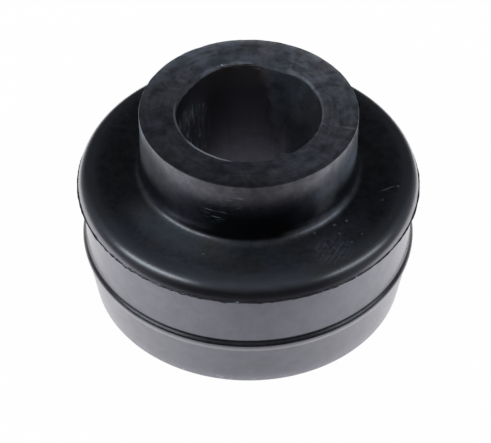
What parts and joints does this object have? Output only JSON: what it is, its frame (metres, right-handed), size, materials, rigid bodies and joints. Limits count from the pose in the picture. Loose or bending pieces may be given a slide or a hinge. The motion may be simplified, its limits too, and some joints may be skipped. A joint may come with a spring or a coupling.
{
  "type": "control arm bushing",
  "caption": "Moulded rubber bushing with a round flange, a short spigot neck, a ridged tapered skirt and a through bore for an inner sleeve.",
  "frame": {"origin": "centre of the face the bushing stands on, at the large end of the bore", "axes": "+Z along the bore, from the standing face towards the end of the neck; X and Y are free, because the part is round"},
  "size_m": [0.065, 0.065, 0.0418],
  "materials": {
    "moulded_rubber": "satin moulded skin, black, with a faint bloom"
  },
  "bodies": {
    "root": {"rubber_bushing": "moulded_rubber"}
  },
  "joints": []
}
